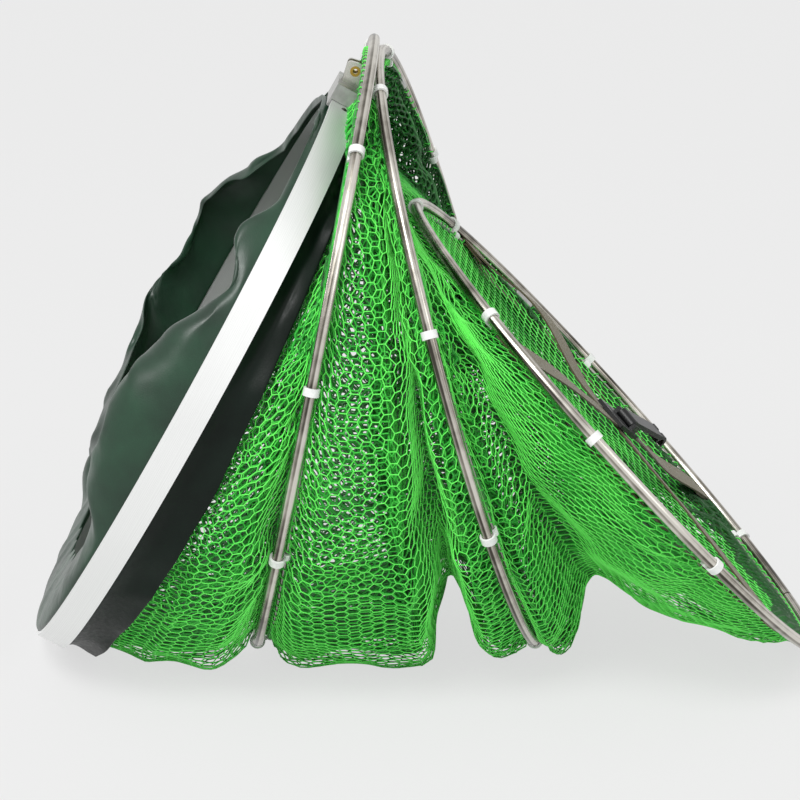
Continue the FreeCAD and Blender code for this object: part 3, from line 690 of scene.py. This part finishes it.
def build_nets(mats):
    front_wire, back_wire, last_wire = wire_points("front"), wire_points("back"), wire_points("last")
    back_yaw = HOOPS["back"][3]
    # the stations that each section's curve runs through, and the seed of its folds
    sections = {
        "front": ([under_hem(), loop_points((-178, -6), (-19, 338), 0, 0.99),
                   loop_points((-166, -13), (-16.5, 346), 0), loop_points((-130, -16), (-17.2, 356), 0),
                   loop_points((-113, -4), (-17.6, 363.5), 0),
                   loop_points((-96, 12.5), (-18.2, 372), 0, 0.985), front_wire], 11.0),
        "middle": ([front_wire, loop_points((-72, -12), (-16.6, 380), 0),
                    loop_points((-40, -16), (-16.2, 379), 0), loop_points((0, -15), (-16, 378), 0),
                    loop_points((22, -8), (-15.9, 377), 0), loop_points((32, 46), (-15.8, 376), 0),
                    loop_points((46, 34), (-15.8, 375.5), 0.8), loop_points((64, -6), (-15.9, 375), 1.6),
                    back_wire], 23.0),
        "end": ([back_wire, loop_points((108, -8), (-9, 363), back_yaw, 0.915),
                 loop_points((118, 10), (-9.5, 345), 1.8), loop_points((130, 48), (-10, 328), 1.0),
                 loop_points((165, 29), (-9, 312), -0.5), loop_points((205, 14), (-5, 296), -1.8),
                 loop_points((235, 8), (2, 284), -2.6), last_wire], 37.0),
    }
    ends = {
        "front": (mouth_frame(), tube_frame("front"), ("mouth", "front_hoop"), "front_net", None, "front"),
        "middle": (tube_frame("front"), tube_frame("back"), ("front_hoop", "back_hoop"), "middle_net",
                   "front", "back"),
        "end": (tube_frame("back"), tube_frame("last"), ("back_hoop", "last_hoop"), "end_net",
                "back", "last"),
    }
    for name, (stations, seed) in sections.items():
        first, last, bodies, node, clips_first, clips_last = ends[name]
        surface = through(stations, LONG)
        for k, (depth, amount, strand, share) in enumerate(LAYERS):
            layer = sheltered(surface, depth, CLIP_ANGLES.get(clips_first, ()), CLIP_ANGLES[clips_last],
                              amount, seed + 5.0 * k)
            if k > 0 or name == "end":
                layer = keep_behind(layer, last)
            pieces = net_section("%s_netting_%d" % (name, k + 1), layer, seed + k, mats["net"],
                                 NET_BANDS, strand * STRAND, share)
            if k == 0:
                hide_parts(node)


def lacing(name, turns, material, body):
    """Green cord wound round a wire ring, which carries the netting's edge."""
    hoop, radius = wire_frame(name)
    across_steps, sides, reach, cord = 7, 4, 1.9, 0.45
    count = turns * across_steps
    centre = []
    for k in range(count):
        wind = 2 * math.pi * k / across_steps
        out, along = reach * math.cos(wind), reach * math.sin(wind)
        centre.append(on_hoop(hoop, radius + out, 360.0 * k / count, along))
    points = []
    for k in range(count):
        way = (centre[(k + 1) % count] - centre[k - 1]).normalized()
        side = way.cross(hoop[3]).normalized()
        rise = way.cross(side)
        for i in range(sides):
            turn = 2 * math.pi * i / sides
            points.append((centre[k] + side * (cord * math.cos(turn)) + rise * (cord * math.sin(turn))) * MM)
    faces = [(k * sides + i, k * sides + (i + 1) % sides, ((k + 1) % count) * sides + (i + 1) % sides,
              ((k + 1) % count) * sides + i) for k in range(count) for i in range(sides)]
    piece = new_piece(name + "_wire_lacing", points, faces)
    smooth(piece)
    layer = piece.data.attributes.new("painted_light_amount", "FLOAT", "POINT")
    # painted shade: the lacing gets one middle value, so it is painted a mid green all round
    layer.data.foreach_set("value", np.full(len(points), 0.55, np.float32))
    set_material(piece, material)
    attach(piece, body)


def build_base(mats):
    """The closed end: netting dished a little into the bag, up to the last wire ring."""
    (_, _, _, axis), radius = wire_frame("last")
    cells = []
    rows = int(radius / CELL_HIGH) + 2
    for column in range(-int(radius / CELL_LONG) - 2, int(radius / CELL_LONG) + 3):
        for row in range(-rows, rows + 1):
            a = column * CELL_LONG
            b = (row + (0.5 if column % 2 else 0.0)) * CELL_HIGH
            ring = []
            for da, db in SIX_SIDES:
                ca, cb = a + da * CELL_LONG, b + db * CELL_HIGH
                wa, wb = waver(ca, cb, 51.0)
                ca, cb = ca + wa, cb + wb
                ring.append((ca, cb, radius - math.hypot(ca, cb)))
            kept = clip_ring(ring)
            if len(kept) > 2:
                cells.append(np.array([base_point(p, q, 0.0) for p, q in kept]))
    # painted shade: the base's strands are painted darker where they face into the bag, and scaled to 0.8
    # overall
    piece = cord_mesh("base_netting", cells, STRAND, mats["net"], 0.8, tuple(axis))
    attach(piece, "last_hoop")
    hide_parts("base_net")


def base_point(a, b, lift):
    """A place on the base netting from its middle: a down towards the foot, b across to the far side."""
    (centre, down, across, axis), radius = wire_frame("last")
    ball = (radius ** 2 + BASE_SAG ** 2) / (2 * BASE_SAG)
    far = min(math.hypot(a, b), radius)
    depth = math.sqrt(ball ** 2 - far ** 2) - (ball - BASE_SAG)
    ripple = 1.6 * noise.noise(Vector((a / 30.0, b / 30.0, 3.0))) * (1 - (far / radius) ** 4)
    return np.array(centre + down * a + across * b + axis * (lift - depth + ripple))


# ---------------------------------------------------------------- leathercloth

NEAR_REACH = ((0, 2), (30, 2), (60, 3), (80, 27), (93, 35), (106, 26), (119, 3), (129, 14), (139, 1), (180, 1))
FAR_REACH = ((0, 2), (33, 4), (44, 15), (59, 23), (77, 26), (84, 34), (97, 23), (110, 30), (134, 2), (180, 1))
COLLAR_WIDTH = 46.0
CLOTH_WALL = 1.0
CLOTH_COLUMNS = 240   # round the mouth


def between(table, angle):
    for (low, first), (high, last) in zip(table, table[1:]):
        if low <= angle <= high:
            share = (angle - low) / (high - low)
            return first + (last - first) * share * share * (3 - 2 * share)
    return table[-1][1]


def off_top(angle):
    return abs(abs((angle + 180) % 360 - 180) - 180)


def head_tuck(angle):
    share = min(max((30.0 - off_top(angle)) / 18.0, 0.0), 1.0)
    return 5.2 * share * share * (3 - 2 * share)


def cloth_piece(name, rows, wall, material):
    """Cloth through rows of points round the mouth, with a wall, as one closed sheet."""
    rows = np.array(rows)
    piece = new_piece(name, rows.reshape(-1, 3) * MM, grid_faces(rows.shape[0], rows.shape[1]))
    apply(piece, "SOLIDIFY", thickness=wall * MM, offset=-1.0, use_even_offset=False)
    apply(piece, "SUBSURF", levels=1, render_levels=1)
    smooth(piece)
    set_material(piece, material)
    return piece


def build_collar(mats):
    hoop = mouth_frame()
    base = HOOP_RADIUS - BAND_WALL - 0.25
    count, steps = CLOTH_COLUMNS, 14
    rows = []
    for step in range(-2, steps + 1):
        row = []
        for i in range(count):
            angle = 360.0 * i / count
            side = (angle + 180) % 360 - 180
            reach = between(NEAR_REACH if side < 0 else FAR_REACH, abs(side))
            slack = math.sqrt(COLLAR_WIDTH ** 2 - reach ** 2) * (0.25 + 0.75 * min(off_top(angle) / 40.0, 1.0))
            # the upper part leans out from the band instead of over it, and leaves the band bare near the head
            lean = min(max((abs(side) - (70.0 if side > 0 else 100.0)) / 20.0, 0.0), 1.0)
            fold = slack * (1.0 - (0.75 if side > 0 else 0.9) * lean)
            if step <= 0:
                row.append(on_hoop(hoop, base - head_tuck(angle), angle, 1.8 if step < 0 else -0.6))
                continue
            t = step / steps
            forward = reach * (1 - (1 - t) ** 2.2) + 2.5 * math.sin(math.pi * t)
            inward = fold * t ** 1.7
            spot = Vector((math.cos(math.radians(angle)), math.sin(math.radians(angle)), 0.12 * t))
            wander = noise.noise(spot * 4.0)
            crease = 1.0 - 3.0 * abs(noise.noise(spot * 5.5 + Vector((0.0, 0.0, 7.0 + 0.5 * t))))
            fine = 1.0 - 2.4 * abs(noise.noise(spot * 17.0 + Vector((3.0, 0.0, 2.0 + t))))
            calm = min(off_top(angle) / 60.0, 1.0) ** 2
            inward += (6.0 * wander + 9.0 * crease * calm + 2.0 * fine * calm) * t
            forward += ((6.0 * crease + 1.8 * fine) * math.sin(math.pi * min(t * 1.15, 1.0)) * calm
                        * min(reach / 10.0, 1.0))
            radius = base - head_tuck(angle) - max(inward, 0.0)
            row.append(on_hoop(hoop, radius, angle, -0.6 - max(forward, 0.0)))
        rows.append(row)
    piece = cloth_piece("leathercloth_collar", rows[::-1], CLOTH_WALL, mats["collar"])
    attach(piece, "mouth")
    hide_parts("front_collar")


def hem_share(count):
    """The skirt is short at the foot, where it lies under the band, and full from mid-height up."""
    turn = np.arange(count) * 360.0 / count
    rise = np.minimum(np.minimum(turn, 360.0 - turn) / 80.0, 1.0)
    return (0.5 + 0.5 * rise ** 1.5)[:, None]


def build_skirt(mats):
    """Leathercloth from the band's rear edge, falling back to a slack hem over the first net."""
    hoop = mouth_frame()
    base = HOOP_RADIUS - BAND_WALL - 0.3
    count = CLOTH_COLUMNS
    turns = [360.0 * i / count for i in range(count)]
    stations = [np.array([on_hoop(hoop, base - head_tuck(turn), turn, along) for turn in turns])
                for along in (BAND_WIDTH - 3.0, BAND_WIDTH + 0.5)]
    stations += [loop_points((-206, 2), (-25, 340), 0, 1.0, count),
                 loop_points((-183, -5), (-20.0, 338), 0, 1.0, count)]
    surface = through(stations, 14)
    edge = stations[1]
    surface[2:] = edge + (surface[2:] - edge) * hem_share(count)
    height = np.zeros(surface.shape[:2])
    for j in range(surface.shape[0]):
        for i in range(count):
            p = surface[j, i] / 40.0
            ridge = 1.0 - 2.6 * abs(noise.noise(Vector((p[0] * 0.5 + 4.0, p[1] * 0.8, p[2] * 0.8))))
            wave = 4.0 * noise.noise(Vector((p[0], p[1], p[2])))
            height[j, i] = (wave + 5.0 * ridge) * max(0.0, (j - 3) / 11.0)
    surface = surface + normals(surface) * height[..., None]
    surface[..., 2] = np.maximum(surface[..., 2], 0.6)
    piece = cloth_piece("leathercloth_skirt", surface, CLOTH_WALL, mats["skirt"])
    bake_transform(piece)
    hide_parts("rear_skirt")


# ---------------------------------------------------------------- webbing, buckle and hook

CROSS_STRAP, HOOK_STRAP = (132.0, -48.0), (-130.0, 50.0)
STRAP_WIDTH, STRAP_WALL, STRAP_LIFT, STRAP_LEVEL, STRAP_REST = 20.0, 1.1, 1.4, 12.0, 28.0
LOOP_BORE = 1.65
TAIL = 24.0


def strap_line(run, lift, first_bow, second_bow):
    """Centre line of a strap, seen from its edge: a sewn tail, round one ring, across, and round the other."""
    drop, bend = LAST_WIRE_OFFSET, LOOP_BORE + STRAP_WALL / 2
    top = drop + bend
    end = [(TAIL * (1 - k / 6), top - STRAP_WALL - 0.25) for k in range(6)]
    end += [(-bend * math.sin(turn), drop - bend * math.cos(turn))
            for turn in [math.radians(-50 + 230 * k / 14) for k in range(15)]]
    line = list(end)
    steps = 60
    for k in range(1, steps):
        x = run * k / steps
        near = min(x, run - x)
        rise = min(max((near - STRAP_LEVEL) / (run / 2 - STRAP_REST - STRAP_LEVEL), 0.0), 1.0)
        bow = first_bow if x < run / 2 else second_bow
        slack = math.sin(math.pi * min(max((near - 8.0) / (run / 2 - STRAP_REST - 8.0), 0.0), 1.0)) ** 2
        line.append((x, top + lift * rise + bow * slack))
    return line + [(run - x, z) for x, z in end[::-1]]


def strap(name, angles, lift, bows, material, node):
    """Tape pulled straight across the closed end between two places on the last wire ring."""
    hoop, radius = tube_frame("last"), wire_frame("last")[1]
    axis = hoop[3]
    a, b = (on_hoop(hoop, radius, angle) for angle in angles)
    run = (b - a).length
    forward = (b - a) / run
    side = axis.cross(forward)
    line = strap_line(run, lift, *bows)
    lanes = 8
    points, far = [], [0.0]
    for k, (x, z) in enumerate(line):
        if k:
            far.append(far[-1] + math.hypot(x - line[k - 1][0], z - line[k - 1][1]))
        twist = 1.2 * math.sin(7.0 * x / run + angles[0]) * math.sin(math.pi * min(max(x / run, 0.0), 1.0))
        for lane in range(lanes + 1):
            v = lane / lanes - 0.5
            points.append((a + forward * x + axis * (z + twist * v) + side * (v * STRAP_WIDTH)) * MM)
    piece = new_piece(name, points, grid_faces(len(line), lanes + 1, closed=False))
    layer = piece.data.uv_layers.new(name="weave")
    for loop in piece.data.loops:
        k, lane = divmod(loop.vertex_index, lanes + 1)
        layer.data[loop.index].uv = (far[k], lane / lanes * STRAP_WIDTH)
    apply(piece, "SOLIDIFY", thickness=STRAP_WALL * 0.95 * MM, offset=0.0)
    smooth(piece, 40)
    set_material(piece, material)
    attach(piece, "last_hoop")
    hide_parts(node)


def rim_tape(material):
    """Olive tape sewn round the edge of the closed end, just inside the last wire ring."""
    radius = wire_frame("last")[1] - 3.0
    count, lanes, width = 180, 3, 12.0
    points = []
    for i in range(count):
        turn = 2 * math.pi * i / count
        for lane in range(lanes + 1):
            reach = radius - width * lane / lanes
            points.append(base_point(reach * math.cos(turn), reach * math.sin(turn), -2.4) * MM)
    faces = [(i * (lanes + 1) + k, i * (lanes + 1) + k + 1, ((i + 1) % count) * (lanes + 1) + k + 1,
              ((i + 1) % count) * (lanes + 1) + k) for i in range(count) for k in range(lanes)]
    piece = new_piece("rim_tape", points, faces)
    layer = piece.data.uv_layers.new(name="weave")
    for face in piece.data.polygons:
        for corner, loop in enumerate(face.loop_indices):
            i = face.index // lanes + (1 if corner in (2, 3) else 0)
            k = face.index % lanes + (1 if corner in (1, 2) else 0)
            layer.data[loop].uv = (2 * math.pi * radius * i / count, width * k / lanes)
    apply(piece, "SOLIDIFY", thickness=0.9 * MM, offset=0.0)
    smooth(piece, 40)
    set_material(piece, material)
    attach(piece, "last_hoop")


def build_straps(mats):
    strap("webbing_cross", CROSS_STRAP, 0.0, (9.0, 1.0), mats["webbing"], "cross_strap")
    strap("webbing_hook", HOOK_STRAP, STRAP_LIFT, (1.5, -3.0), mats["webbing"], "hook_strap")
    rim_tape(mats["webbing"])


# ---------------------------------------------------------------- dressing the carried-over solids

def dress_metal(mats):
    for node, key in (("mouth_band", "band"), ("head_block", "casting"), ("head_ears", "plate"),
                      ("ear_bushes", "brass"), ("band_rivets", "dark_steel"), ("strap_buckle", "black"),
                      ("strap_hook", "black"), ("hook_pin", "dark_steel")):
        set_material(NODES[node], mats[key])
    for name in HOOPS:
        set_material(NODES[name + "_hoop_tube"], steel_tube_painted_reflections(name, tube_frame(name), HOOPS[name][0]))
        set_material(NODES[name + "_hoop_spigot"], mats["spigot"])
        set_material(NODES[name + "_wire_ring"], mats["wire"])
        set_material(NODES[name + "_wire_ferrule"], mats["casting"])
        set_material(NODES[name + "_hoop_clips"], mats["clip"])


# ---------------------------------------------------------------- stage and light

def build_stage():
    bpy.ops.object.select_all(action="DESELECT")
    bpy.ops.mesh.primitive_plane_add(size=24.0, location=(0, 0, 0))
    floor = bpy.context.active_object
    floor.name = "floor"
    set_material(floor, floor_paint())


def soft_light(name, where, aim, size, watts):
    data = bpy.data.lights.new(name, "AREA")
    data.shape, data.size, data.energy = "SQUARE", size, watts
    lamp = bpy.data.objects.new(name, data)
    bpy.context.scene.collection.objects.link(lamp)
    lamp.location = where
    lamp.rotation_euler = (Vector(aim) - Vector(where)).to_track_quat("-Z", "Y").to_euler()


def light_room():
    soft_light("key_softbox", (-1.6, -1.8, 2.4), (0, 0, 0.15), 1.6, 30)
    soft_light("fill_softbox", (2.2, -1.6, 1.5), (0, 0, 0.15), 1.4, 10)
    data = bpy.data.lights.new("wide_sky_light", "SUN")
    data.energy, data.angle = 1.6, math.radians(25)
    sun = bpy.data.objects.new("wide_sky_light", data)
    bpy.context.scene.collection.objects.link(sun)
    sun.rotation_euler = (math.radians(28), math.radians(-16), 0.0)
    world = bpy.data.worlds.new("studio")
    bpy.context.scene.world = world
    world.use_nodes = True
    tree = world.node_tree
    tree.nodes.clear()
    path = add(tree, "LightPath")
    dim = add(tree, "Background", color=srgb("#FFFFFF"), strength=0.5)
    seen = add(tree, "Background", color=srgb("#EBEBEB"), strength=1.0)
    any_ray = add(tree, "Math", [(0, path.outputs["Is Camera Ray"]), (1, path.outputs["Is Glossy Ray"])],
                  operation="MAXIMUM")
    both = add(tree, "MixShader", [("Fac", any_ray.outputs[0]), (1, dim.outputs[0]), (2, seen.outputs[0])])
    add(tree, "OutputWorld", [("Surface", both.outputs[0])])


def main():
    scene = bpy.context.scene
    scene.view_settings.view_transform = "Standard"
    place_camera()
    build_stage()
    light_room()
    mats = {
        "band": brushed_band(mouth_frame()),
        "spigot": steel("polished_steel_rod", "#A8A49C", "#C4C1BA", 0.16, 0.30),
        "wire": steel("galvanised_wire", "#8D8B84", "#B4B2AB", 0.3, 0.45),
        "plate": steel("bright_plated_steel", "#C8C6BE", "#DAD8D0", 0.15, 0.3),
        "dark_steel": steel("blackened_steel", "#4A4845", "#6A6864", 0.3, 0.5),
        "brass": steel("turned_brass", "#B8923F", "#CFA954", 0.2, 0.35),
        "casting": cast_metal(),
        "collar": leathercloth("green_leathercloth_face", "#0E2418", "#1D422D", 0.28, 0.34),
        # painted shade: the skirt is the collar's leathercloth painted darker, for its side in shade behind
        # the band
        "skirt": leathercloth("green_leathercloth_painted_shade", "#08110C", "#132019", 0.04, 0.14),
        "net": netting_cord("green_polyester_cord_painted_shade", "#0A4A14", "#2BC236", "#6CFA60"),
        "webbing": webbing(),
        "black": moulded("black_acetal", "#0B0C0D", "#151617", 0.36, Specular_IOR_Level=0.35),
        "clip": moulded("white_nylon", "#E2E4E2", "#F0F1EF", 0.36, Subsurface_Weight=0.1,
                        Subsurface_Radius=(0.001, 0.001, 0.001)),
    }
    dress_metal(mats)
    build_collar(mats)
    build_skirt(mats)
    build_nets(mats)
    build_base(mats)
    for name in HOOPS:
        lacing(name, LACING_TURNS, mats["net"], name + "_hoop")
    build_straps(mats)


main()
